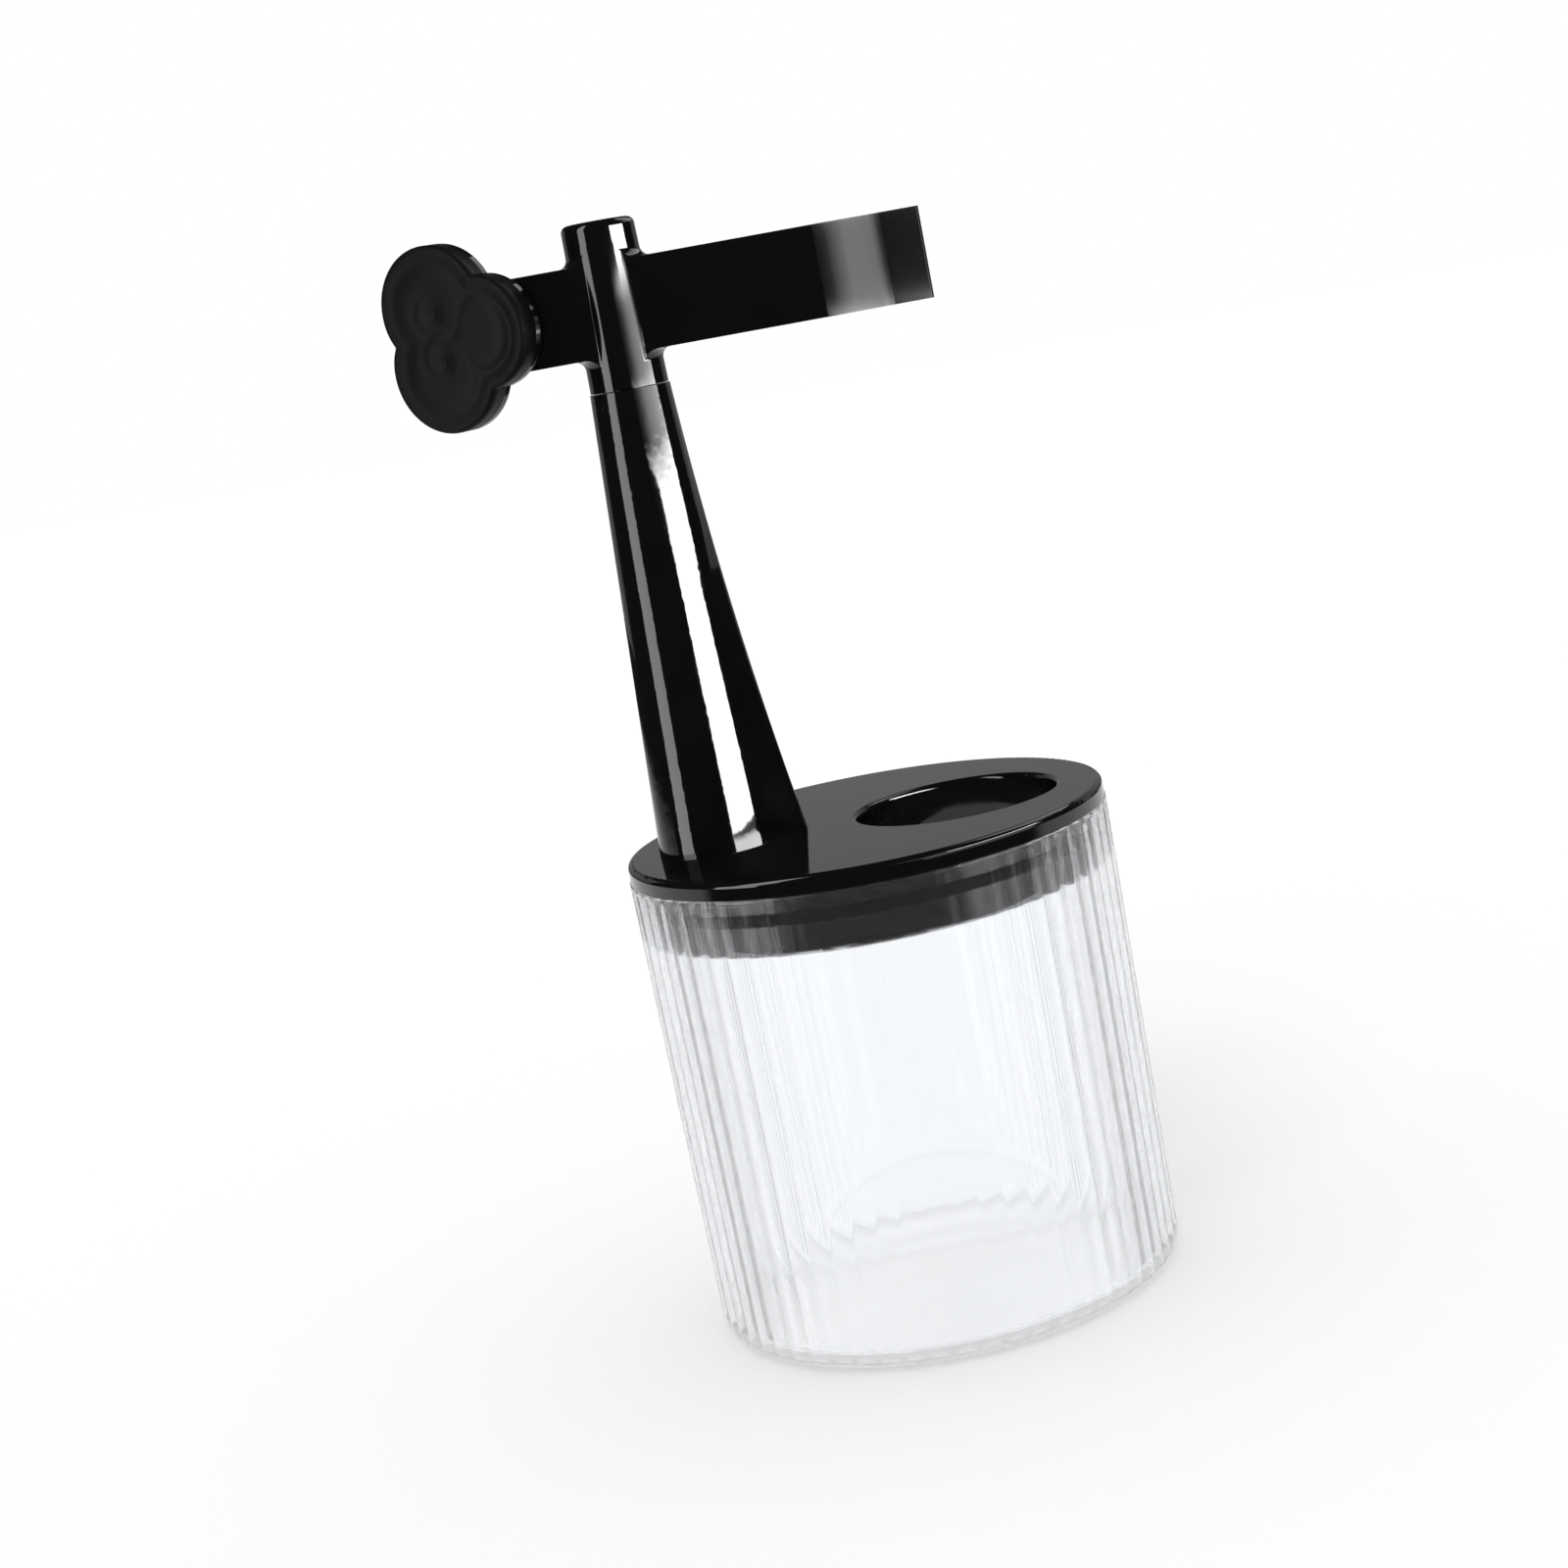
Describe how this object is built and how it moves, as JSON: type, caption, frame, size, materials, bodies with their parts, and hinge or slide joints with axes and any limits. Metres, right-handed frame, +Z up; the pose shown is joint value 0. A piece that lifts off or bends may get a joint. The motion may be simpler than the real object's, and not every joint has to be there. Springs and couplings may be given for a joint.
{
  "type": "brush washing cup with hanging bar",
  "caption": "Clear ribbed cup with a plug-in lid, a brush hole, a tapered column and a swivelling head with a hanging bar and a three-lobed end piece.",
  "frame": {"origin": "centre of the cup's flat underside", "axes": "+Z up along the cup's axis, +X from the column towards the brush hole, -Y the side that the picture was taken from"},
  "size_m": [0.1007, 0.0804, 0.186],
  "materials": {
    "clear_plastic": "clear, polished",
    "gloss_black": "high gloss",
    "satin_black": "satin",
    "soft_black": "matt",
    "steel": "plated"
  },
  "bodies": {
    "cup_body": {"cup": "clear_plastic"},
    "lid_body": {"lid": "gloss_black", "seal_ring": "soft_black", "column": "gloss_black", "column_screws": "steel"},
    "head_body": {"head": "gloss_black", "friction_ring": "soft_black", "pivot_washer": "steel", "pivot_screw": "steel"},
    "trefoil_body": {"trefoil_back": "gloss_black", "trefoil_face": "satin_black", "trefoil_pin": "steel"}
  },
  "joints": [
    {"name": "lid_lift", "type": "slide", "parent": "cup_body", "child": "lid_body", "axis": [0, 0, 1], "range_m": [0, 0.02]},
    {"name": "head_swivel", "type": "hinge", "parent": "lid_body", "child": "head_body", "pos_m": [-0.0241, 0, 0.158], "axis": [0, 0, 1], "continuous": true},
    {"name": "trefoil_turn", "type": "hinge", "parent": "head_body", "child": "trefoil_body", "pos_m": [-0.045, 0, 0.17117], "axis": [0, 0, 1], "range_deg": [-128, 14]}
  ]
}
